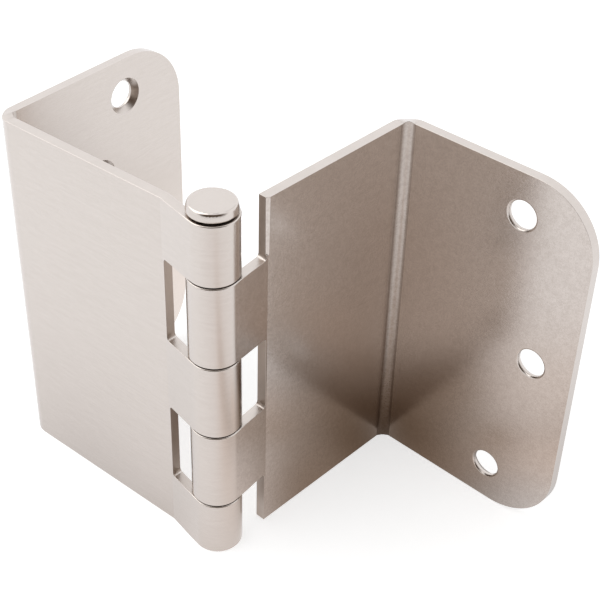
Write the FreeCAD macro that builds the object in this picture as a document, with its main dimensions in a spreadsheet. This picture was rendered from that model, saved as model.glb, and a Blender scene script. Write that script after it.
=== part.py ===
import FreeCAD, Part
import math
import os

import Sketcher
from FreeCAD import Vector

# Swing clear offset door hinge, 3-1/2 inch, five knuckles. Millimetres.
# The pin axis is the Z axis and both leaves stand on z = 0. Each leaf is one strip of
# steel: a rolled barrel, a short tang, a crease, a web, a right-angle bend and a flange
# with screw holes. Both are drawn with the web along +X and the flange towards -Y, and
# the door leaf is then turned about the pin to the opening angle.

SIZES = [
    ("leaf_height", 88.9, "height of both leaves"),
    ("strip", 2.4, "thickness of the steel strip"),
    ("pin_diameter", 6.35, "shank of the pin"),
    ("pin_play", 0.05, "radial clearance between pin and knuckle"),
    ("end_knuckle", 14.35, "length of the top and bottom knuckles"),
    ("inner_knuckle", 20.8, "slot for the second or the fourth knuckle"),
    ("knuckle_gap", 0.3, "gap between neighbouring knuckles"),
    ("opening_angle", 93.6, "angle between the webs as shown"),
    ("bend_inner", 2.2, "inner radius of the right-angle bends"),
    ("corner_round", 15.3, "radius of the flange corners"),
    ("slot_round", 0.8, "radius in the corners of the knuckle slots"),
    ("curl_end_angle", 18.0, "angle from the web at which the rolled strip ends"),
    ("door_web_length", 61.0, "pin axis to the outer face of the door flange"),
    ("door_web_offset", 3.2, "pin axis to the face of the door web on the tang side"),
    ("door_flange_length", 55.0, "outer face of the door web to the free edge of its flange"),
    ("door_slot_depth", 10.6, "pin axis to the bottom of the slots in the door leaf"),
    ("door_crease_margin", 0.4, "bottom of the slots to the crease of the door leaf"),
    ("jamb_web_length", 55.9, "pin axis to the outer face of the jamb flange"),
    ("jamb_web_offset", 4.3, "pin axis to the face of the jamb web on the tang side"),
    ("jamb_flange_length", 50.5, "outer face of the jamb web to the free edge of its flange"),
    ("jamb_slot_depth", 10.7, "pin axis to the bottom of the slots in the jamb leaf"),
    ("jamb_crease_margin", 0.4, "bottom of the slots to the crease of the jamb leaf"),
    ("hole_diameter", 6.6, "screw hole"),
    ("countersink_diameter", 9.0, "countersink at the face of the flange"),
    ("countersink_angle", 82.0, "included angle of the countersink"),
    ("door_hole_inset", 18.2, "free edge to the centre of the outer holes of the door leaf"),
    ("door_hole_end", 9.5, "leaf end to the centre of the outer holes of the door leaf"),
    ("door_inner_inset", 27.5, "free edge to the centre of its two inner holes"),
    ("door_inner_end", 27.6, "leaf end to the centre of its two inner holes"),
    ("jamb_hole_inset", 17.5, "free edge to the centre of the outer holes of the jamb leaf"),
    ("jamb_hole_end", 9.8, "leaf end to the centre of the outer holes of the jamb leaf"),
    ("jamb_middle_inset", 10.1, "free edge to the centre of its middle hole"),
    ("relief_width", 0.75, "wedge off the free edge of the jamb web: width on the web at the top"),
    ("relief_low_width", 0.6, "width on the web at the lower end of the wedge"),
    ("relief_depth", 0.45, "depth of the wedge into the edge at the top"),
    ("relief_length", 13.6, "height of the wedge"),
    ("head_diameter", 10.7, "pin head"),
    ("head_height", 2.2, "thickness of the pin head"),
    ("head_round", 0.65, "rounding of both rims of the pin head"),
    ("head_stand", 0.5, "space between the top knuckle and the pin head"),
    ("grip_start", 4.0, "top of the top knuckle down to the knurled band of the pin"),
    ("grip_length", 7.0, "length of the knurled band, pressed into the top knuckle"),
    ("pin_tip_inset", 1.0, "foot of the bottom knuckle to the tip of the pin"),
    ("pin_tip_bevel", 0.8, "bevel at the tip of the pin"),
    ("cut_margin", 1.0, "how far the slot cuts run past the barrel and the leaf ends"),
]

# sizes that follow from the ones above
DERIVED = [
    ("bore_radius", "pin_diameter / 2 + pin_play"),
    ("barrel_radius", "bore_radius + strip"),
    ("bend_outer", "bend_inner + strip"),
    ("door_crease", "door_slot_depth + door_crease_margin"),
    ("jamb_crease", "jamb_slot_depth + jamb_crease_margin"),
    ("past_barrel", "barrel_radius + cut_margin"),
    ("past_foot", "-cut_margin"),
    ("past_top", "leaf_height + cut_margin"),
    ("door_slot_1_low", "end_knuckle"),
    ("door_slot_1_high", "end_knuckle + inner_knuckle"),
    ("door_slot_2_low", "leaf_height - end_knuckle - inner_knuckle"),
    ("door_slot_2_high", "leaf_height - end_knuckle"),
    ("jamb_slot_1_high", "door_slot_1_low + knuckle_gap"),
    ("jamb_slot_2_low", "door_slot_1_high - knuckle_gap"),
    ("jamb_slot_2_high", "door_slot_2_low + knuckle_gap"),
    ("jamb_slot_3_low", "door_slot_2_high - knuckle_gap"),
    ("door_curl_end_height", "bore_radius * sin(curl_end_angle * 1 deg)"),
    ("jamb_curl_end_height", "-door_curl_end_height"),
    ("door_near_face", "door_web_offset"),
    ("jamb_near_face", "-jamb_web_offset"),
    ("door_free_edge", "door_web_offset - door_flange_length"),
    ("jamb_free_edge", "strip - jamb_web_offset - jamb_flange_length"),
    ("hole_radius", "hole_diameter / 2"),
    ("door_outer_hole", "door_free_edge + door_hole_inset"),
    ("door_inner_hole", "door_free_edge + door_inner_inset"),
    ("jamb_outer_hole", "jamb_free_edge + jamb_hole_inset"),
    ("jamb_middle_hole", "jamb_free_edge + jamb_middle_inset"),
    ("door_outer_top", "leaf_height - door_hole_end"),
    ("door_inner_top", "leaf_height - door_inner_end"),
    ("jamb_outer_top", "leaf_height - jamb_hole_end"),
    ("jamb_middle", "leaf_height / 2"),
    ("sink_width", "(countersink_diameter - hole_diameter) / 2"),
    ("sink_depth", "sink_width / tan(countersink_angle / 2 * 1 deg)"),
    ("relief_left", "jamb_slot_depth - relief_width"),
    ("relief_right", "jamb_slot_depth + 2 * relief_width"),
    ("relief_near", "-jamb_web_offset - relief_depth"),
    ("relief_far", "2 * relief_depth - jamb_web_offset"),
    ("relief_cut", "relief_width * relief_depth / sqrt(relief_width ^ 2 + relief_depth ^ 2)"),
    ("relief_draw", "relief_cut * (1 - relief_low_width / relief_width)"),
    ("pin_radius", "pin_diameter / 2"),
    ("head_radius", "head_diameter / 2"),
    ("head_low", "leaf_height + head_stand"),
    ("head_top", "head_low + head_height"),
    ("grip_high", "leaf_height - grip_start"),
    ("grip_low", "grip_high - grip_length"),
    ("tip_radius", "pin_radius - pin_tip_bevel"),
    ("tip_shoulder", "pin_tip_inset + pin_tip_bevel"),
]

doc = FreeCAD.newDocument("swing_clear_hinge")
cells = doc.addObject("Spreadsheet::Sheet", "sizes")
for row, (alias, value, note) in enumerate(SIZES, start=1):
    cells.set("A%d" % row, note)
    cells.set("B%d" % row, str(value))
    cells.setAlias("B%d" % row, alias)
for row, (alias, formula) in enumerate(DERIVED, start=len(SIZES) + 1):
    cells.set("B%d" % row, "=" + formula)
    cells.setAlias("B%d" % row, alias)
doc.recompute()


def size(alias):
    return float(cells.get(alias))


def close(a, b):
    return abs(a - b) < 0.01


def new_sketch(body, name, role):
    """An empty sketch on one of the origin planes of a body."""
    sketch = body.newObject("Sketcher::SketchObject", name)
    origin_plane = next(f for f in body.Origin.OriginFeatures if f.Role == role)
    sketch.AttachmentSupport = [(origin_plane, "")]
    sketch.MapMode = "FlatFace"
    return sketch


def add_line(sketch, start, end):
    return sketch.addGeometry(Part.LineSegment(start, end), False)


def add_arc(sketch, centre, radius, start, end):
    circle = Part.Circle(centre, Vector(0, 0, 1), radius)
    return sketch.addGeometry(Part.ArcOfCircle(circle, start, end), False)


def hold(sketch, name, constraint, formula):
    """Add a named dimension to a sketch and tie it to the sheet."""
    sketch.renameConstraint(sketch.addConstraint(constraint), name)
    sketch.setExpression("Constraints." + name, formula)


def hold_radius(sketch, name, curve, alias):
    hold(sketch, name, Sketcher.Constraint("Radius", curve, size(alias)), "sizes." + alias)


def hold_point(sketch, name, axis, curve, end, alias):
    """Tie one coordinate of a point to a cell, which may hold a negative number."""
    value = size(alias)
    kind = "Distance" + axis
    if value < 0:
        hold(sketch, name, Sketcher.Constraint(kind, curve, end, -1, 1, -value), "-sizes." + alias)
    else:
        hold(sketch, name, Sketcher.Constraint(kind, -1, 1, curve, end, value), "sizes." + alias)


def leaf_outline(body, leaf, side):
    """Plan outline of a leaf. side is +1 where the tang lies above the web in the sketch
    and -1 where it lies below. The near face of the web is the one on the tang side."""
    strip = size("strip")
    bore = size("bore_radius")
    barrel = size("barrel_radius")
    crease = size(leaf + "_crease")
    near_face = side * size(leaf + "_near_face")
    far_face = near_face - strip
    free_edge = size(leaf + "_free_edge")
    curl = math.radians(size("curl_end_angle"))
    # the tang runs from the crease to the point where it meets the barrel smoothly
    tangent = math.atan2(near_face, crease) + math.acos(barrel / math.hypot(crease, near_face))
    slope = math.pi / 2 - tangent
    far_crease = crease + strip * math.tan(slope / 2)

    def at(x, y):
        return Vector(x, side * y, 0)

    def polar(radius, angle):
        return at(radius * math.cos(angle), radius * math.sin(angle))

    # the bend turns towards -Y, so the face on the +Y side takes the larger radius
    near_bend, far_bend = ("bend_outer", "bend_inner") if side > 0 else ("bend_inner", "bend_outer")
    top_face = near_face if side > 0 else -far_face
    middle = Vector(size(leaf + "_web_length") - size("bend_outer"), top_face - size("bend_outer"), 0)
    near_x = middle.x + size(near_bend)
    far_x = middle.x + size(far_bend)

    sketch = new_sketch(body, leaf + "_outline", "XY_Plane")
    # arcs run anticlockwise in the sketch, so on the lower side they end at the tangent
    if side > 0:
        turn = (tangent, 2 * math.pi + curl)
        first, last = 1, 2
    else:
        turn = (-curl, 2 * math.pi - tangent)
        first, last = 2, 1
    barrel_outside = add_arc(sketch, Vector(), barrel, *turn)
    barrel_inside = add_arc(sketch, Vector(), bore, *turn)
    curl_end = add_line(sketch, polar(barrel, curl), polar(bore, curl))
    tang_far = add_line(sketch, polar(bore, tangent), at(far_crease, far_face))
    web_far = add_line(sketch, at(far_crease, far_face), Vector(middle.x, side * far_face, 0))
    bend_far = add_arc(sketch, middle, size(far_bend), 0, math.pi / 2)
    flange_far = add_line(sketch, Vector(far_x, middle.y, 0), Vector(far_x, free_edge, 0))
    flange_end = add_line(sketch, Vector(far_x, free_edge, 0), Vector(near_x, free_edge, 0))
    flange_near = add_line(sketch, Vector(near_x, free_edge, 0), Vector(near_x, middle.y, 0))
    bend_near = add_arc(sketch, middle, size(near_bend), 0, math.pi / 2)
    web_near = add_line(sketch, Vector(middle.x, side * near_face, 0), at(crease, near_face))
    tang_near = add_line(sketch, at(crease, near_face), polar(barrel, tangent))

    for constraint in (
        ("Coincident", barrel_outside, 3, -1, 1),
        ("Coincident", barrel_inside, 3, -1, 1),
        ("Coincident", barrel_outside, last, curl_end, 1),
        ("Coincident", curl_end, 2, barrel_inside, last),
        ("PointOnObject", -1, 1, curl_end),
        ("Tangent", barrel_inside, first, tang_far, 1),
        ("Coincident", tang_far, 2, web_far, 1),
        ("Horizontal", web_far),
        ("Tangent", web_far, 2, bend_far, 2),
        ("Tangent", bend_far, 1, flange_far, 1),
        ("Vertical", flange_far),
        ("Coincident", flange_far, 2, flange_end, 1),
        ("Horizontal", flange_end),
        ("Coincident", flange_end, 2, flange_near, 1),
        ("Vertical", flange_near),
        ("Tangent", flange_near, 2, bend_near, 1),
        ("Tangent", bend_near, 2, web_near, 1),
        ("Horizontal", web_near),
        ("Coincident", web_near, 2, tang_near, 1),
        ("Tangent", tang_near, 2, barrel_outside, first),
        ("Parallel", tang_near, tang_far),
        ("Coincident", bend_far, 3, bend_near, 3),
    ):
        sketch.addConstraint(Sketcher.Constraint(*constraint))

    hold_radius(sketch, "bore", barrel_inside, "bore_radius")
    hold_radius(sketch, "barrel", barrel_outside, "barrel_radius")
    hold_radius(sketch, "near_bend", bend_near, near_bend)
    hold_radius(sketch, "far_bend", bend_far, far_bend)
    hold_point(sketch, "curl_end", "Y", curl_end, 2, leaf + "_curl_end_height")
    hold_point(sketch, "near_face", "Y", web_near, 2, leaf + "_near_face")
    hold_point(sketch, "crease", "X", web_near, 2, leaf + "_crease")
    outer_face = flange_near if side > 0 else flange_far
    hold_point(sketch, "web_length", "X", outer_face, 1, leaf + "_web_length")
    hold_point(sketch, "free_edge", "Y", flange_end, 1, leaf + "_free_edge")
    return sketch


def slot_sketch(body, leaf, spans):
    """Side view of the knuckle slots: a rectangle for each pair of heights."""
    sketch = new_sketch(body, leaf + "_slots", "XZ_Plane")
    depth = leaf + "_slot_depth"
    for number, (low, high) in enumerate(spans, start=1):
        left_x, right_x = -size("past_barrel"), size(depth)
        low_y, high_y = size(low), size(high)
        corners = [
            Vector(left_x, low_y, 0),
            Vector(right_x, low_y, 0),
            Vector(right_x, high_y, 0),
            Vector(left_x, high_y, 0),
        ]
        sides = [add_line(sketch, corners[i], corners[(i + 1) % 4]) for i in range(4)]
        for i, way in enumerate(("Horizontal", "Vertical", "Horizontal", "Vertical")):
            following = sides[(i + 1) % 4]
            sketch.addConstraint(Sketcher.Constraint("Coincident", sides[i], 2, following, 1))
            sketch.addConstraint(Sketcher.Constraint(way, sides[i]))
        tag = "_%d" % number
        hold(sketch, "mouth" + tag, Sketcher.Constraint("DistanceX", sides[0], 1, -1, 1, -left_x),
             "sizes.past_barrel")
        hold_point(sketch, "depth" + tag, "X", sides[0], 2, depth)
        hold_point(sketch, "low" + tag, "Y", sides[0], 2, low)
        hold_point(sketch, "high" + tag, "Y", sides[2], 1, high)
    return sketch


def cut_through(body, sketch, name):
    """Cut a sketch through the whole body both ways, and make sure that it cuts."""
    before = body.Tip.Shape.Volume
    pocket = body.newObject("PartDesign::Pocket", name)
    pocket.Profile = sketch
    pocket.Type = "ThroughAll"
    pocket.Midplane = True
    doc.recompute()
    if pocket.Shape.Volume > before - 1:
        raise RuntimeError(name + " cuts nothing")


def dress(body, kind, name, test, sizes):
    """Fillet or chamfer the edges that pass the test. sizes maps a property to its cell."""
    base = body.Tip
    edges = ["Edge%d" % i for i, edge in enumerate(base.Shape.Edges, start=1) if test(edge)]
    if not edges:
        raise RuntimeError(name + " finds no edge")
    feature = body.newObject("PartDesign::" + kind, name)
    feature.Base = (base, edges)
    for prop, alias in sizes.items():
        feature.setExpression(prop, "sizes." + alias)
    return feature


def make_leaf(leaf, side, slots, holes, sink_from_outside):
    """One leaf: padded outline, knuckle slots, rounded corners and countersunk holes."""
    body = doc.addObject("PartDesign::Body", leaf + "_leaf")
    pad = body.newObject("PartDesign::Pad", leaf + "_strip")
    pad.Profile = leaf_outline(body, leaf, side)
    pad.setExpression("Length", "sizes.leaf_height")
    doc.recompute()

    cut_through(body, slot_sketch(body, leaf, slots), leaf + "_slot_cut")
    depth = size(leaf + "_slot_depth")
    inside = (0.1, size("leaf_height") - 0.1)

    def in_slot_corner(edge):
        box = edge.BoundBox
        level = close(box.ZMin, box.ZMax) and inside[0] < box.ZMin < inside[1]
        return level and close(box.XMin, depth) and close(box.XMax, depth)

    dress(body, "Fillet", leaf + "_slot_corners", in_slot_corner, {"Radius": "slot_round"})
    doc.recompute()

    free_edge = size(leaf + "_free_edge")

    def at_flange_corner(edge):
        box = edge.BoundBox
        across = close(box.XLength, size("strip")) and close(box.ZMin, box.ZMax)
        return across and close(box.YMin, free_edge) and close(box.YMax, free_edge)

    dress(body, "Fillet", leaf + "_flange_corners", at_flange_corner, {"Radius": "corner_round"})
    doc.recompute()

    sketch = new_sketch(body, leaf + "_holes", "YZ_Plane")
    for number, (across, height) in enumerate(holes, start=1):
        centre = Vector(size(across), size(height), 0)
        ring = sketch.addGeometry(Part.Circle(centre, Vector(0, 0, 1), size("hole_radius")), False)
        tag = "_%d" % number
        hold_radius(sketch, "radius" + tag, ring, "hole_radius")
        hold_point(sketch, "across" + tag, "X", ring, 3, across)
        hold_point(sketch, "height" + tag, "Y", ring, 3, height)
    cut_through(body, sketch, leaf + "_hole_cut")

    face = size(leaf + "_web_length") - (0 if sink_from_outside else size("strip"))

    def on_sunk_face(edge):
        box = edge.BoundBox
        round_edge = isinstance(edge.Curve, Part.Circle) and close(edge.Curve.Radius, size("hole_radius"))
        return round_edge and close(box.XMin, face) and close(box.XMax, face)

    sinks = dress(body, "Chamfer", leaf + "_countersinks", on_sunk_face, {})
    sinks.ChamferType = "Two distances"
    # the width lies on the flange and the depth in the hole
    sinks.setExpression("Size", "sizes.sink_width")
    sinks.setExpression("Size2", "sizes.sink_depth")
    doc.recompute()
    return body


door_leaf = make_leaf(
    "door",
    side=1,
    slots=[("door_slot_1_low", "door_slot_1_high"), ("door_slot_2_low", "door_slot_2_high")],
    holes=[
        ("door_outer_hole", "door_hole_end"),
        ("door_inner_hole", "door_inner_end"),
        ("door_inner_hole", "door_inner_top"),
        ("door_outer_hole", "door_outer_top"),
    ],
    sink_from_outside=False,
)
jamb_leaf = make_leaf(
    "jamb",
    side=-1,
    slots=[
        ("past_foot", "jamb_slot_1_high"),
        ("jamb_slot_2_low", "jamb_slot_2_high"),
        ("jamb_slot_3_low", "past_top"),
    ],
    holes=[
        ("jamb_outer_hole", "jamb_hole_end"),
        ("jamb_middle_hole", "jamb_middle"),
        ("jamb_outer_hole", "jamb_outer_top"),
    ],
    sink_from_outside=True,
)
door_leaf.setExpression("Placement.Rotation.Angle", "sizes.opening_angle * 1 deg")


def relieve_free_edge(body):
    """Take a wedge off the free web edge beside the top knuckle. The cut is a triangle whose
    slanted side moves outwards from the top down, as the taper draws it in."""
    sketch = new_sketch(body, "jamb_relief", "XY_Plane")
    sketch.setExpression("AttachmentOffset.Base.z", "sizes.leaf_height")
    near, far = size("relief_near"), size("relief_far")
    left, right = size("relief_left"), size("relief_right")
    corners = [Vector(left, near, 0), Vector(right, near, 0), Vector(left, far, 0)]
    sides = [add_line(sketch, corners[i], corners[(i + 1) % 3]) for i in range(3)]
    for i in range(3):
        following = sides[(i + 1) % 3]
        sketch.addConstraint(Sketcher.Constraint("Coincident", sides[i], 2, following, 1))
    sketch.addConstraint(Sketcher.Constraint("Horizontal", sides[0]))
    sketch.addConstraint(Sketcher.Constraint("Vertical", sides[2]))
    hold_point(sketch, "left", "X", sides[0], 1, "relief_left")
    hold_point(sketch, "right", "X", sides[0], 2, "relief_right")
    hold_point(sketch, "near", "Y", sides[0], 1, "relief_near")
    hold_point(sketch, "far", "Y", sides[2], 1, "relief_far")
    before = body.Tip.Shape.Volume
    pocket = body.newObject("PartDesign::Pocket", "jamb_relief_cut")
    pocket.Profile = sketch
    pocket.setExpression("Length", "sizes.relief_length")
    pocket.setExpression("TaperAngle", "-atan(sizes.relief_draw / sizes.relief_length)")
    doc.recompute()
    removed = before - pocket.Shape.Volume
    low = size("relief_low_width") / size("relief_width")
    expected = size("relief_width") * size("relief_depth") * size("relief_length") / 2
    expected *= (1 + low + low**2) / 3
    if not 0.5 * expected < removed < 2 * expected:
        raise RuntimeError("the relief takes away %.2f mm3, not %.2f" % (removed, expected))


relieve_free_edge(jamb_leaf)


def make_pin():
    """The pin, turned from a half outline of radius against height."""
    body = doc.addObject("PartDesign::Body", "hinge_pin")
    sketch = new_sketch(body, "pin_outline", "XZ_Plane")
    outline = [
        (None, "pin_tip_inset"),
        ("tip_radius", "pin_tip_inset"),
        ("pin_radius", "tip_shoulder"),
        ("pin_radius", "grip_low"),
        ("bore_radius", "grip_low"),
        ("bore_radius", "grip_high"),
        ("pin_radius", "grip_high"),
        ("pin_radius", "head_low"),
        ("head_radius", "head_low"),
        ("head_radius", "head_top"),
        (None, "head_top"),
    ]
    points = [Vector(size(r) if r else 0, size(z), 0) for r, z in outline]
    count = len(points)
    lines = [add_line(sketch, points[i], points[(i + 1) % count]) for i in range(count)]
    for i, (radius, height) in enumerate(outline):
        following = (i + 1) % count
        sketch.addConstraint(Sketcher.Constraint("Coincident", lines[i], 2, lines[following], 1))
        if radius:
            hold_point(sketch, "radius_%d" % i, "X", lines[i], 1, radius)
        else:
            sketch.addConstraint(Sketcher.Constraint("PointOnObject", lines[i], 1, -2))
        hold_point(sketch, "height_%d" % i, "Y", lines[i], 1, height)
    turned = body.newObject("PartDesign::Revolution", "pin_turned")
    turned.Profile = sketch
    turned.ReferenceAxis = (sketch, ["V_Axis"])
    turned.Angle = 360
    doc.recompute()

    def on_head(edge):
        box = edge.BoundBox
        level = close(box.ZMin, box.ZMax) and box.ZMin > size("head_low") - 0.01
        return level and close(box.XMax, size("head_radius"))

    dress(body, "Fillet", "head_rounding", on_head, {"Radius": "head_round"})
    doc.recompute()
    return body


hinge_pin = make_pin()

nodes = [door_leaf, jamb_leaf, hinge_pin]
for item in doc.Objects:
    if "Invalid" in item.State or "Error" in item.State:
        raise RuntimeError(item.Name + " failed")
for body in nodes:
    shape = body.Shape
    if shape.isNull() or not shape.isValid() or len(shape.Solids) != 1:
        raise RuntimeError(body.Label + " isn't one sound solid")

os.makedirs("parts", exist_ok=True)
for body in nodes:
    body.Shape.exportStep("parts/" + body.Label + ".step")
    print(body.Label, "volume", round(body.Shape.Volume, 1), "mm3")
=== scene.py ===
import math
from typing import NamedTuple

import bmesh
import bpy
from bpy.props import FloatProperty, FloatVectorProperty, PointerProperty
from mathutils import Matrix, Vector


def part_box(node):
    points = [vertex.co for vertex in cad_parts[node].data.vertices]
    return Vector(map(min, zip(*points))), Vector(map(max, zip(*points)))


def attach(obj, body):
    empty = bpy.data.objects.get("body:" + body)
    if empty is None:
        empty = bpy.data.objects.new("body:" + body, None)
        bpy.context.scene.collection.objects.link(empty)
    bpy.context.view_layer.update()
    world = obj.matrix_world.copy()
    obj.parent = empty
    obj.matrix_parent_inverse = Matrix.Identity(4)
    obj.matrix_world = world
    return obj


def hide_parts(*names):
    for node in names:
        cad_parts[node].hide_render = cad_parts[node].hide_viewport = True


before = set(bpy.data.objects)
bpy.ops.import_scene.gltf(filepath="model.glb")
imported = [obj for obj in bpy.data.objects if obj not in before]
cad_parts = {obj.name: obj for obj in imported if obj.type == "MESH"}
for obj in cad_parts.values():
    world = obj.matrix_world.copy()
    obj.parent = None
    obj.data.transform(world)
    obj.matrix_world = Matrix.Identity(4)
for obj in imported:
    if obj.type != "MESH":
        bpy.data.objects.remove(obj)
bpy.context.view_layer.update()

bl_info = {
    "name": "Swing Clear Hinge",
    "version": (1, 0, 0),
    "blender": (4, 5, 0),
    "location": "3D View > Sidebar > Hinge",
    "description": "Dresses the leaves and the pin of a door hinge in satin nickel",
    "category": "Object",
}

LEAF_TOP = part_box("jamb_leaf")[1].z

# sizes of the solids, in metres: the knuckles, the pin head and the strip's bends
BARREL_RADIUS = 0.005625
HEAD_RADIUS = 0.00535
HEAD_HEIGHT = 0.0022
HEAD_ROUND = 0.00065
BEND_OUTER = 0.0046
BEND_INNER = 0.0022


class Leaf(NamedTuple):
    """What one leaf is, as in the solids"""

    node: str
    body: str
    turn: float  # of the web about the pin
    bend: tuple  # the way from the pin to the middle of the bend, along and across the web
    holes: tuple  # the heights of the screw holes
    peel: float  # the share of orange peel on the faces that look into the bend


LEAVES = (
    Leaf(
        node="door_leaf",
        body="door_side",
        turn=math.radians(93.6),
        bend=(0.0564, -0.0014),
        holes=(0.0095, 0.0276, 0.0613, 0.0794),
        peel=0.0,
    ),
    Leaf(
        node="jamb_leaf",
        body="jamb_side",
        turn=0.0,
        bend=(0.0513, -0.0065),
        holes=(0.0098, 0.04445, 0.0791),
        peel=1.0,
    ),
)

# where the parts of a leaf lie, as distances from the pin's line
KNUCKLE_REACH = 0.007
PEEL_REACH = 0.0075
CREASE_REACH = (0.009, 0.013)
FLANGE_REACH = 0.03

# what tells one edge of a solid from another: how far its faces turn, how steep it is, how
# large its wider face is, and the half millimetre steps of a hole's rim
SAME_FACE_TURN = math.radians(0.4)
CREASE_TURN = (math.radians(2), math.radians(25))
SHARP_TURN = math.radians(28)
KNUCKLE_RIM_TURN = math.radians(60)
HOLE_RIM_TURN = math.radians(75)
UPRIGHT_SHARE = 0.9
FLANGE_AREA = 0.0001
HOLE_STEP = 0.0005
HOLE_STEP_SLACK = 0.00005

# what tells one face from another: how squarely it looks up or down, out of the flange,
# out of the web, or into the bend
LEVEL_FACE = 0.7
FLANGE_FACE = 0.95
WEB_FACE = 0.8
INNER_FACE = -0.7

# how near places have to be: to be one place, to be on an end of a leaf, to be on a round
# face, to lie in a level cut through a hole, and for that cut to take a corner along
ONE_PLACE = 1e-6
AT_LEAF_END = 1e-5
ON_ROUND = 1e-4
IN_CUT = 1.6e-4
CUT_SNAP = 1.5e-4
SLICE_SNAP = 1e-7
SLIVER = 2e-6

# the crease of a tang, the swell at the ends of a bend, which is cut into slices and ends
# half a right angle from the corner, and the pin head
CREASE_ROUND = 0.00025
SWELL_TURNS = tuple(15.0 * step for step in range(-3, 4))
SWELL_TURN = math.radians(45)
OUTER_DRAW = 0.7
HEAD_SEAT = 0.0002
HEAD_SLICES = 12
HEAD_SQUARENESS = 0.6

# how much more the wide flat faces count in the smooth shading, from 1 to 100
FLAT_FACE_WEIGHT = 80

# the notes on each face that the plate reads
FACE_NOTES = ("cut_edge", "bend_strip", "orange_peel")

# where the camera of the photograph stood, found from the edges and holes of the hinge
CAMERA_PLACE = (-0.146427, -0.154493, 0.227733)
CAMERA_TURN = (math.radians(53.3734), math.radians(0.4687), math.radians(-44.4692))
CAMERA_LENS = 79.541
CAMERA_SENSOR = 36.0
CAMERA_SHIFT = (0.12324, -0.0126)
CAMERA_CLIP = (0.01, 10.0)

# the two soft lamps, which point at the middle of the hinge
HINGE_MIDDLE = (0.02, 0.01, 0.045)
KEY_PLACE = (-0.25, 0.35, 0.65)
KEY_SIZE = (0.8, 0.75)
FILL_PLACE = (-0.7, -0.05, 0.35)
FILL_SIZE = (0.5, 0.5)

# the floor, and how much it glows to be white beside the shadow
FLOOR_REACH = 2.0
FLOOR_LEVEL = -0.0002
FLOOR_GLOW = 0.58

# the way to the middle of the dim room, and how near to it the room begins and is full
ROOM_WAY = (CAMERA_PLACE[0], CAMERA_PLACE[1], 0.07)
ROOM_EDGE = (0.35, 0.85)


class Shade(NamedTuple):
    """Soft oval painted shade on the floor as the metal mirrors it, painted light where
    brighter
    """

    share: float
    middle: tuple
    reach: tuple
    turn: float
    colour: tuple


# painted shade and light on the floor, seen only in reflections; from the first laid to the
# last
PAINTED_FLOOR_SHADE_AND_LIGHT = (
    Shade(0.90, (0.085, 0.065), (0.040, 0.060), -1.225, (1.90, 1.92, 1.98)),
    Shade(0.22, (-0.004, 0.052), (0.044, 0.110), 0.10, (0.90, 0.86, 0.86)),
    Shade(0.71, (-0.060, -0.090), (0.150, 0.090), 0.0, (1.22, 1.21, 1.24)),
    Shade(1.00, (0.0456, -0.0073), (0.0215, 0.060), 0.704, (0.091, 0.064, 0.045)),
    Shade(0.31, (-0.004, -0.038), (0.090, 0.0206), 0.867, (0.93, 0.72, 0.58)),
    Shade(0.49, (0.0261, -0.0392), (0.0754, 0.0129), 0.531, (0.49, 0.36, 0.27)),
    Shade(1.00, (0.029, -0.0448), (0.0081, 0.0147), -0.522, (1.08, 0.985, 0.94)),
    Shade(0.75, (0.024, -0.0039), (0.0252, 0.011), -0.60, (0.32, 0.235, 0.175)),
    Shade(0.45, (0.035, -0.0255), (0.0060, 0.0060), 0.0, (0.45, 0.34, 0.26)),
)


class NickelFinish(bpy.types.PropertyGroup):
    """Colour and surface of the satin nickel"""

    colour: FloatVectorProperty(
        name="Nickel",
        description="Colour of the plated faces",
        subtype="COLOR",
        size=3,
        min=0.0,
        max=1.0,
        default=(0.545, 0.482, 0.435),
    )
    tint: FloatVectorProperty(
        name="Shade",
        description="Colour in the grooves of the brushing",
        subtype="COLOR",
        size=3,
        min=0.0,
        max=1.0,
        default=(0.485, 0.428, 0.382),
    )
    # painted shade along the inner side of a bend, and the dark of the orange-peel speckle
    bend_shade_and_speckle: FloatVectorProperty(
        name="Bend shade",
        description="Colour of the duller strip along the inner side of a bend",
        subtype="COLOR",
        size=3,
        min=0.0,
        max=1.0,
        default=(0.17, 0.125, 0.095),
    )
    peel: FloatProperty(
        name="Orange peel",
        description="Strength of the speckle on the inner faces of the jamb leaf",
        min=0.0,
        max=2.0,
        default=1.0,
    )
    roughness: FloatProperty(
        name="Roughness",
        description="Blur of the reflections on the brushed faces",
        min=0.0,
        max=1.0,
        default=0.2,
    )
    brush_depth: FloatProperty(
        name="Brush depth",
        description="Depth of the brushed lines",
        unit="LENGTH",
        min=0.0,
        max=0.0001,
        default=0.0000055,
    )
    edge_round: FloatProperty(
        name="Edge rounding",
        description="Width of the rounding on sheared edges",
        unit="LENGTH",
        min=0.0,
        max=0.001,
        default=0.00026,
    )
    hole_round: FloatProperty(
        name="Hole rounding",
        description="Width of the drawn-in rim on the plain side of the screw holes",
        unit="LENGTH",
        min=0.0,
        max=0.001,
        default=0.0005,
    )
    knuckle_round: FloatProperty(
        name="Knuckle rounding",
        description="Width of the rounding on the outer rims of the knuckles",
        unit="LENGTH",
        min=0.0,
        max=0.001,
        default=0.0003,
    )
    head_draw: FloatProperty(
        name="Head draw",
        description="How much the side of the pin head is drawn in towards its top",
        unit="LENGTH",
        min=0.0,
        max=0.001,
        default=0.0004,
    )
    bend_swell: FloatProperty(
        name="Bend swell",
        description="How much the pressing raises the inner side of a bend at its ends",
        unit="LENGTH",
        min=0.0,
        max=0.001,
        default=0.00045,
    )


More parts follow.
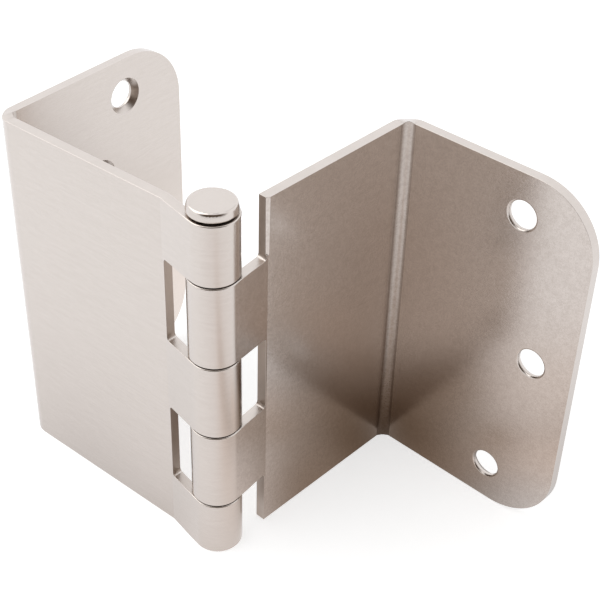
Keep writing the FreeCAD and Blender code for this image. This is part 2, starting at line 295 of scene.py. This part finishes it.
class StudioLight(bpy.types.PropertyGroup):
    """Light and floor round the hinge"""

    key_power: FloatProperty(
        name="Key light",
        description="Power of the large soft light above",
        unit="POWER",
        min=0.0,
        max=100.0,
        default=2.4,
    )
    fill_power: FloatProperty(
        name="Fill light",
        description="Power of the soft light from the left",
        unit="POWER",
        min=0.0,
        max=100.0,
        default=0.8,
    )
    floor_colour: FloatVectorProperty(
        name="Floor",
        description="Colour of the pale floor",
        subtype="COLOR",
        size=3,
        min=0.0,
        max=1.0,
        default=(0.80, 0.80, 0.80),
    )
    surround: FloatVectorProperty(
        name="Surround",
        description="Bright surround as the metal mirrors it",
        subtype="COLOR",
        size=3,
        min=0.0,
        max=2.0,
        default=(1.45, 1.51, 1.59),
    )
    room: FloatVectorProperty(
        name="Room",
        description="Dim room in front of the hinge as the metal mirrors it",
        subtype="COLOR",
        size=3,
        min=0.0,
        max=2.0,
        default=(0.13, 0.095, 0.07),
    )


class Varying:
    """A number that changes over a surface, so that shader maths reads as maths"""

    def __init__(self, graph, socket):
        self.graph = graph
        self.socket = socket

    def maths(self, operation, first, second):
        settings = {"operation": operation}
        return self.graph.value("ShaderNodeMath", settings, {0: first, 1: second})

    def __add__(self, other):
        return self.maths("ADD", self, other)

    def __radd__(self, other):
        return self.maths("ADD", other, self)

    def __sub__(self, other):
        return self.maths("SUBTRACT", self, other)

    def __rsub__(self, other):
        return self.maths("SUBTRACT", other, self)

    def __mul__(self, other):
        return self.maths("MULTIPLY", self, other)

    def __rmul__(self, other):
        return self.maths("MULTIPLY", other, self)

    def __truediv__(self, other):
        return self.maths("DIVIDE", self, other)

    def __rtruediv__(self, other):
        return self.maths("DIVIDE", other, self)


class Graph:
    """The nodes of one material or world"""

    def __init__(self, owner):
        owner.use_nodes = True
        self.tree = owner.node_tree
        self.tree.nodes.clear()

    def node(self, kind, settings=None, sockets=None):
        """Add a node: its settings first, then the value or link of each input"""
        made = self.tree.nodes.new(kind)
        for name, setting in (settings or {}).items():
            if name == "stops":
                self.set_stops(made.color_ramp, setting)
            else:
                setattr(made, name, setting)
        for key, value in (sockets or {}).items():
            if isinstance(value, Varying):
                value = value.socket
            if isinstance(value, bpy.types.NodeSocket):
                self.tree.links.new(value, made.inputs[key])
            else:
                made.inputs[key].default_value = value
        return made

    @staticmethod
    def set_stops(ramp, stops):
        ramp.interpolation = "EASE"
        while len(ramp.elements) < len(stops):
            ramp.elements.new(0.5)
        for element, (position, level) in zip(ramp.elements, stops):
            element.position = position
            element.color = (level, level, level, 1.0)

    def value(self, kind, settings=None, sockets=None, output=0):
        return Varying(self, self.node(kind, settings, sockets).outputs[output])

    def function(self, operation, number):
        """A Math node that takes one number"""
        return self.value("ShaderNodeMath", {"operation": operation}, {0: number})

    def face_note(self, name):
        """A number that is noted on each face"""
        return self.value("ShaderNodeAttribute", {"attribute_name": name}, None, "Fac")

    def ramp(self, factor, begin, end):
        """Soft step from nought at the begin to one at the end"""
        stops = [(begin, 0.0), (end, 1.0)]
        return self.value("ShaderNodeValToRGB", {"stops": stops}, {"Fac": factor})

    def mix_colour(self, factor, first, second):
        """Blend two colours"""
        sockets = {"Factor": factor, 6: first, 7: second}
        return self.node("ShaderNodeMix", {"data_type": "RGBA"}, sockets).outputs[2]

    def place(self):
        """Where a point lies on its piece: the vector, then its three numbers"""
        vector = self.node("ShaderNodeTexCoord").outputs["Object"]
        parts = self.node("ShaderNodeSeparateXYZ", None, {0: vector}).outputs
        return vector, *(Varying(self, part) for part in parts)

    def noise(self, place, waves, detail, rough, shift=(0.0, 0.0, 0.0)):
        """Noise with so many waves to the metre along each axis"""
        sockets = {"Vector": place, "Scale": waves, "Location": shift}
        mapped = self.node("ShaderNodeMapping", None, sockets).outputs[0]
        sockets = {"Vector": mapped, "Scale": 1.0, "Detail": detail, "Roughness": rough}
        return self.value("ShaderNodeTexNoise", None, sockets)


def rgba(colour):
    return (*colour, 1.0)


def satin_nickel(name, finish, turned=False):
    """Satin nickel plate: very fine short lines that run level along the leaves and round
    the knuckles, or in rings on the turned pin head, over a soft grain and mottling"""
    material = bpy.data.materials.new(name)
    g = Graph(material)
    place, east, north, above = g.place()
    if turned:
        rings = g.function("SQRT", east * east + north * north) + above
        brushing = g.node("ShaderNodeCombineXYZ", None, {2: rings}).outputs[0]
    else:
        brushing = place
    lines = g.noise(brushing, (150.0, 150.0, 1700.0), 4.0, 0.7)
    hair = g.noise(brushing, (420.0, 420.0, 7500.0), 1.0, 0.5, (7.3, 4.1, 2.2))
    mottle = g.noise(place, (75.0, 75.0, 75.0), 4.0, 0.6)
    grain = g.noise(place, (2300.0, 2300.0, 2300.0), 2.0, 0.7)
    chips = g.noise(place, (900.0, 900.0, 900.0), 3.0, 0.6, (3.3, 8.1, 0.4))
    drawn = g.noise(place, (2200.0, 2200.0, 45.0), 3.0, 0.6, (1.7, 5.9, 3.1))
    cut, bend, peel = (g.face_note(note) for note in FACE_NOTES)

    # colour: paler between the grooves and on the orange peel, painted shade along a bend
    brushed = (lines * 0.7 + hair * 0.3) * (1.0 - bend) + drawn * bend
    groove = g.ramp(brushed, 0.3, 0.7)
    speckle = g.ramp(grain * 0.6 + chips * 0.4, 0.35, 0.65)
    blend = groove * 0.4 + mottle * 0.4 + speckle * 0.2 + peel * 0.4
    plate = g.mix_colour(blend, rgba(finish.tint), rgba(finish.colour))
    # painted shade in the crease of a bend, darker towards the bottom; the orange peel's
    # dark speckle
    shade_and_speckle = bend * (0.62 - above * 4.5) + peel * (1.0 - speckle) * 0.2
    tone = g.mix_colour(shade_and_speckle, plate, rgba(finish.bend_shade_and_speckle))

    # gloss and relief: sheared edges and bends are rougher, and cuts have no brushing
    rough = finish.roughness + (mottle - 0.5) * 0.12 + (grain - 0.5) * 0.1
    rough = rough + cut * 0.12 + bend * 0.1
    height = brushed * (1.0 - cut) + grain * (0.4 + cut * 0.8) + chips * (0.4 + cut * 2.0)
    relief = {"Height": height, "Distance": finish.brush_depth, "Strength": 1.0}
    bump = g.node("ShaderNodeBump", None, relief).outputs[0]

    surface = {"Base Color": tone, "Metallic": 1.0, "Roughness": rough, "Normal": bump}
    shader = g.node("ShaderNodeBsdfPrincipled", None, surface)
    g.node("ShaderNodeOutputMaterial", None, {"Surface": shader.outputs[0]})
    return material


def slice_shape(shape, parts, place, normal, snap=SLICE_SNAP):
    """Draw the edges of a flat section on some parts of a shape"""
    bmesh.ops.bisect_plane(shape, geom=parts, dist=snap, plane_co=place, plane_no=normal)


def everything(shape):
    return shape.verts[:] + shape.edges[:] + shape.faces[:]


def flange_parts(shape):
    """The faces of a flange with their edges and corners, each of them once"""
    parts = {}
    for face in shape.faces:
        if face.calc_center_median().xy.length > FLANGE_REACH:
            parts.update(dict.fromkeys((face, *face.edges, *face.verts)))
    return list(parts)


def in_level_cut(edge, heights):
    return any(
        all(abs(vert.co.z - height) < IN_CUT for vert in edge.verts) for height in heights
    )


def merged_copy(node, heights=()):
    """The solid of a node as one clean mesh: its flat faces are whole again, but for one
    level cut through each screw hole"""
    shape = bmesh.new()
    shape.from_mesh(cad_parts[node].data)
    bmesh.ops.remove_doubles(shape, verts=shape.verts, dist=ONE_PLACE)
    for height in heights:
        slice_shape(
            shape, flange_parts(shape), (0.0, 0.0, height), (0.0, 0.0, 1.0), CUT_SNAP
        )
    bmesh.ops.dissolve_limit(
        shape,
        angle_limit=SAME_FACE_TURN,
        verts=shape.verts,
        edges=[edge for edge in shape.edges if not in_level_cut(edge, heights)],
    )
    return shape


def pick_edges(shape, wanted):
    return [edge for edge in shape.edges if len(edge.link_faces) == 2 and wanted(edge)]


def round_edges(shape, edges, width, steps):
    bmesh.ops.bevel(
        shape,
        geom=edges,
        offset=width,
        offset_type="OFFSET",
        segments=steps,
        profile=0.5,
        affect="EDGES",
        clamp_overlap=True,
        material=-1,
    )


def edge_reach(edge):
    """How far the middle of an edge lies from the pin's line"""
    first, second = (vert.co for vert in edge.verts)
    return ((first + second) / 2).xy.length


def is_sharp(edge):
    return edge.calc_face_angle(0.0) > SHARP_TURN


def is_crease(edge):
    """The soft bend line between a web and its tangs"""
    first, second = (vert.co for vert in edge.verts)
    upright = abs(first.z - second.z) > UPRIGHT_SHARE * edge.calc_length()
    near = CREASE_REACH[0] < edge_reach(edge) < CREASE_REACH[1]
    soft = CREASE_TURN[0] < edge.calc_face_angle(0.0) < CREASE_TURN[1]
    return upright and near and soft


def is_knuckle_rim(edge):
    """The rim of a rolled knuckle on its outer side"""
    first, second = (vert.co for vert in edge.verts)
    on_barrel = all(
        abs(place.xy.length - BARREL_RADIUS) < ON_ROUND for place in (first, second)
    )
    level = abs(first.z - second.z) < ONE_PLACE
    return on_barrel and level and edge.calc_face_angle(0.0) > KNUCKLE_RIM_TURN


def is_hole_rim(edge):
    """The rim of a screw hole on the plain side of a flange"""
    wide = max(face.calc_area() for face in edge.link_faces) > FLANGE_AREA
    square = edge.calc_face_angle(0.0) > HOLE_RIM_TURN
    on_flange = edge_reach(edge) > FLANGE_REACH
    step = abs(edge.calc_length() - HOLE_STEP) < HOLE_STEP_SLACK
    return wide and square and on_flange and step


def bend_centre(leaf):
    """The turn of a leaf about the pin, and the middle of its bend"""
    spin = Matrix.Rotation(leaf.turn, 3, "Z")
    return spin, spin @ Vector((*leaf.bend, 0.0))


def swell_bend_ends(shape, leaf, rise):
    """Raise the inner side of a bend at its top and bottom and draw its outer side in, as
    the pressing does to thick strip"""
    spin, centre = bend_centre(leaf)
    corner = spin @ Vector((1.0, 1.0, 0.0)).normalized()
    for turn in SWELL_TURNS:
        aside = Matrix.Rotation(math.radians(turn + 90.0), 3, "Z")
        slice_shape(shape, everything(shape), centre, aside @ corner)
    for vert in shape.verts:
        way = (vert.co - centre) * Vector((1.0, 1.0, 0.0))
        if not BEND_INNER - ON_ROUND < way.length < BEND_OUTER + ON_ROUND:
            continue
        angle = way.angle(corner)
        if angle > SWELL_TURN:
            continue
        share = (way.length - BEND_INNER) / (BEND_OUTER - BEND_INNER)
        fade = 1.0 + math.cos(math.pi * angle / SWELL_TURN)
        swell = rise * (1.0 - (1.0 + OUTER_DRAW) * share) * fade / 2.0
        if vert.co.z > LEAF_TOP - AT_LEAF_END:
            vert.co.z += swell
        elif vert.co.z < AT_LEAF_END:
            vert.co.z -= swell


def shape_head(shape, draw, seat):
    """Tighten the upper rim of the pin head, draw its side in towards the top and seat it"""
    high = max(vert.co.z for vert in shape.verts)
    low = high - HEAD_HEIGHT
    for step in range(1, HEAD_SLICES):
        level = (0.0, 0.0, low + HEAD_HEIGHT * step / HEAD_SLICES)
        slice_shape(shape, everything(shape), level, (0.0, 0.0, 1.0))
    arc = HEAD_RADIUS - HEAD_ROUND
    for vert in shape.verts:
        if vert.co.z < low - ONE_PLACE:
            continue
        radius = vert.co.xy.length
        up = (vert.co.z - high + HEAD_ROUND) / HEAD_ROUND
        out = (radius - arc) / HEAD_ROUND
        if up > 0.0 and out > 0.0:
            angle = math.atan2(up, out)
            up, out = (
                part ** HEAD_SQUARENESS for part in (math.sin(angle), math.cos(angle))
            )
            vert.co.z = high + (up - 1.0) * HEAD_ROUND
            radius = arc + out * HEAD_ROUND
        rise = (vert.co.z - low) / HEAD_HEIGHT
        if radius > arc:
            radius -= draw * rise * rise
        if radius > ONE_PLACE:
            vert.co.xy = vert.co.xy.normalized() * radius
        vert.co.z -= seat


def add_face_notes(shape):
    return [shape.faces.layers.float.new(note) for note in FACE_NOTES]


def mark_faces(shape, leaf, peel_share):
    """Note which faces are sheared or bored, which are the inner side of the bend and how
    much orange peel the plate has on the two faces that look into the bend"""
    cut, bend, peel = add_face_notes(shape)
    spin, centre = bend_centre(leaf)
    outwards = spin @ Vector((1.0, 0.0, 0.0))
    sideways = spin @ Vector((0.0, 1.0, 0.0))
    for face in shape.faces:
        place = face.calc_center_median()
        level = abs(face.normal.z) > LEVEL_FACE
        reach = max((vert.co - centre).xy.length for vert in face.verts)
        if reach < BEND_OUTER + ON_ROUND:
            sheared = level
        elif place.dot(outwards) > leaf.bend[0]:
            sheared = abs(face.normal.dot(outwards)) < FLANGE_FACE
        else:
            past_knuckle = place.xy.length > KNUCKLE_REACH
            sheared = past_knuckle and abs(face.normal.dot(sideways)) < WEB_FACE
        inner = reach < BEND_INNER + ON_ROUND and not level
        facing = face.normal.dot(outwards + sideways) < INNER_FACE
        peels = facing and place.xy.length > PEEL_REACH and not sheared
        face[cut] = 1.0 if sheared or level else 0.0
        face[bend] = 1.0 if inner else 0.0
        face[peel] = peel_share if peels else 0.0


def add_object(name, data):
    made = bpy.data.objects.new(name, data)
    bpy.context.scene.collection.objects.link(made)
    return made


def place_piece(shape, name, node, body, material):
    """Put a finished mesh in the scene in place of its solid"""
    bmesh.ops.dissolve_degenerate(shape, dist=SLIVER, edges=shape.edges)
    for face in shape.faces:
        face.smooth = True
    mesh = bpy.data.meshes.new(name)
    shape.to_mesh(mesh)
    shape.free()
    mesh.materials.append(material)
    piece = add_object(name, mesh)
    weighted = piece.modifiers.new("even_faces", "WEIGHTED_NORMAL")
    weighted.mode = "FACE_AREA"
    weighted.weight = FLAT_FACE_WEIGHT
    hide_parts(node)
    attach(piece, body)


class HINGE_OT_leaves(bpy.types.Operator):
    """Round the sheared edges of both leaves and plate them"""

    bl_idname = "hinge.dress_leaves"
    bl_label = "Leaves"

    def execute(self, context):
        finish = context.scene.nickel_finish
        material = satin_nickel("satin_nickel_leaf", finish)
        for leaf in LEAVES:
            shape = merged_copy(leaf.node, leaf.holes)
            swell_bend_ends(shape, leaf, finish.bend_swell)
            mark_faces(shape, leaf, finish.peel * leaf.peel)
            for wanted, width, steps in (
                (is_hole_rim, finish.hole_round, 4),
                (is_knuckle_rim, finish.knuckle_round, 4),
                (is_sharp, finish.edge_round, 3),
                (is_crease, CREASE_ROUND, 2),
            ):
                edges = pick_edges(shape, wanted)
                if not edges:
                    raise RuntimeError(f"{leaf.node}: no edge passes {wanted.__name__}")
                round_edges(shape, edges, width, steps)
            place_piece(shape, leaf.node + "_plated", leaf.node, leaf.body, material)
        return {"FINISHED"}


class HINGE_OT_pin(bpy.types.Operator):
    """Polish the turned pin and its head"""

    bl_idname = "hinge.dress_pin"
    bl_label = "Pin"

    def execute(self, context):
        finish = context.scene.nickel_finish
        material = satin_nickel("satin_nickel_pin", finish, turned=True)
        shape = merged_copy("hinge_pin")
        add_face_notes(shape)
        round_edges(shape, pick_edges(shape, is_sharp), finish.edge_round * 0.5, 2)
        shape_head(shape, finish.head_draw, HEAD_SEAT)
        place_piece(shape, "hinge_pin_plated", "hinge_pin", "door_side", material)
        return {"FINISHED"}


def pale_paper(name, light):
    """White paper that takes the shadow of the hinge. To the metal's reflections it glows
    instead
    with painted shade and painted light: paler to the left and behind, and in warm painted
    shade in front, where the leaves keep the light off"""
    paper = bpy.data.materials.new(name)
    g = Graph(paper)
    path = g.node("ShaderNodeLightPath").outputs
    seen, mirrored = Varying(g, path["Is Camera Ray"]), path["Is Glossy Ray"]
    matt = g.node("ShaderNodeBsdfDiffuse", None, {"Color": rgba(light.floor_colour)})
    glow = g.node("ShaderNodeEmission", None, {"Strength": seen * FLOOR_GLOW})
    both = {0: matt.outputs[0], 1: glow.outputs[0]}
    paper_seen = g.node("ShaderNodeAddShader", None, both)

    east, north = g.place()[1:3]

    def patch(shade):
        """A soft oval patch: its share in its middle, falling off as a bell curve"""
        cosine, sine = math.cos(shade.turn), math.sin(shade.turn)
        aside, ahead = east - shade.middle[0], north - shade.middle[1]
        along = (aside * cosine + ahead * sine) / shade.reach[0]
        across = (ahead * cosine - aside * sine) / shade.reach[1]
        away = 0.0 - along * along - across * across
        return shade.share * g.function("EXPONENT", away)

    # painted reflection: patches of painted shade and painted light laid over the bright
    # surround
    painted_reflection = rgba(light.surround)
    for shade in PAINTED_FLOOR_SHADE_AND_LIGHT:
        painted_reflection = g.mix_colour(patch(shade), painted_reflection, rgba(shade.colour))
    painted_paper_reflection = g.node("ShaderNodeEmission", None, {"Color": painted_reflection, "Strength": 1.0})
    either = {0: mirrored, 1: paper_seen.outputs[0], 2: painted_paper_reflection.outputs[0]}
    shader = g.node("ShaderNodeMixShader", None, either)
    g.node("ShaderNodeOutputMaterial", None, {"Surface": shader.outputs[0]})
    return paper


def studio_world(name, light):
    """White to the camera, and half as bright where it lights the hinge. The metal mirrors a
    bright surround with a dim room in front of the hinge"""
    world = bpy.data.worlds.new(name)
    g = Graph(world)
    path = g.node("ShaderNodeLightPath").outputs
    seen, mirrored = Varying(g, path["Is Camera Ray"]), Varying(g, path["Is Glossy Ray"])
    way = g.node("ShaderNodeTexCoord").outputs["Generated"]
    room_way = tuple(Vector(ROOM_WAY).normalized())
    product = {"operation": "DOT_PRODUCT"}
    near = g.value("ShaderNodeVectorMath", product, {0: way, 1: room_way}, "Value")
    dim = g.ramp(near, *ROOM_EDGE)
    tent = g.mix_colour(dim, rgba(light.surround), rgba(light.room))
    tone = g.mix_colour(mirrored, (1.0, 1.0, 1.0, 1.0), tent)
    level = 0.5 + seen * 0.5 + mirrored * 0.5
    sky = g.node("ShaderNodeBackground", None, {"Color": tone, "Strength": level})
    g.node("ShaderNodeOutputWorld", None, {"Surface": sky.outputs[0]})
    return world


def lay_floor(name, material):
    """A level sheet just under the lower edges of the leaves"""
    shape = bmesh.new()
    bmesh.ops.create_grid(shape, x_segments=1, y_segments=1, size=FLOOR_REACH)
    mesh = bpy.data.meshes.new(name)
    shape.to_mesh(mesh)
    shape.free()
    mesh.transform(Matrix.Translation((0.0, 0.0, FLOOR_LEVEL)))
    mesh.materials.append(material)
    floor = add_object(name, mesh)


def soft_light(name, place, size, power):
    """A large soft lamp that points at the middle of the hinge"""
    data = bpy.data.lights.new(name, "AREA")
    data.shape = "RECTANGLE"
    data.size, data.size_y = size
    data.energy = power
    lamp = add_object(name, data)
    lamp.location = place
    way = Vector(HINGE_MIDDLE) - Vector(place)
    lamp.rotation_euler = way.to_track_quat("-Z", "Y").to_euler()
    return lamp


def photo_camera(name):
    data = bpy.data.cameras.new(name)
    data.lens = CAMERA_LENS
    data.sensor_width = CAMERA_SENSOR
    data.shift_x, data.shift_y = CAMERA_SHIFT
    data.clip_start, data.clip_end = CAMERA_CLIP
    camera = add_object(name, data)
    camera.location = CAMERA_PLACE
    camera.rotation_euler = CAMERA_TURN
    return camera


class HINGE_OT_stage(bpy.types.Operator):
    """Set the floor, the soft light and the camera"""

    bl_idname = "hinge.set_stage"
    bl_label = "Stage"

    def execute(self, context):
        scene = context.scene
        light = scene.studio_light
        lay_floor("floor", pale_paper("pale_floor", light))
        scene.world = studio_world("studio", light)
        soft_light("key_light", KEY_PLACE, KEY_SIZE, light.key_power)
        fill = soft_light("fill_light", FILL_PLACE, FILL_SIZE, light.fill_power)
        fill.visible_glossy = False
        scene.camera = photo_camera("camera")
        scene.view_settings.view_transform = "Standard"
        return {"FINISHED"}


class HINGE_PT_panel(bpy.types.Panel):
    """Sizes, colours and steps of the hinge"""

    bl_idname = "HINGE_PT_panel"
    bl_label = "Swing Clear Hinge"
    bl_space_type = "VIEW_3D"
    bl_region_type = "UI"
    bl_category = "Hinge"

    def draw(self, context):
        layout = self.layout
        for group in (context.scene.nickel_finish, context.scene.studio_light):
            for name in group.__annotations__:
                layout.prop(group, name)
        for operator in (HINGE_OT_leaves, HINGE_OT_pin, HINGE_OT_stage):
            layout.operator(operator.bl_idname)


CLASSES = (
    NickelFinish,
    StudioLight,
    HINGE_OT_leaves,
    HINGE_OT_pin,
    HINGE_OT_stage,
    HINGE_PT_panel,
)


def register():
    for cls in CLASSES:
        bpy.utils.register_class(cls)
    bpy.types.Scene.nickel_finish = PointerProperty(type=NickelFinish)
    bpy.types.Scene.studio_light = PointerProperty(type=StudioLight)


def unregister():
    del bpy.types.Scene.studio_light
    del bpy.types.Scene.nickel_finish
    for cls in reversed(CLASSES):
        bpy.utils.unregister_class(cls)


def main():
    register()
    bpy.ops.hinge.dress_leaves()
    bpy.ops.hinge.dress_pin()
    bpy.ops.hinge.set_stage()


if __name__ == "__main__":
    main()
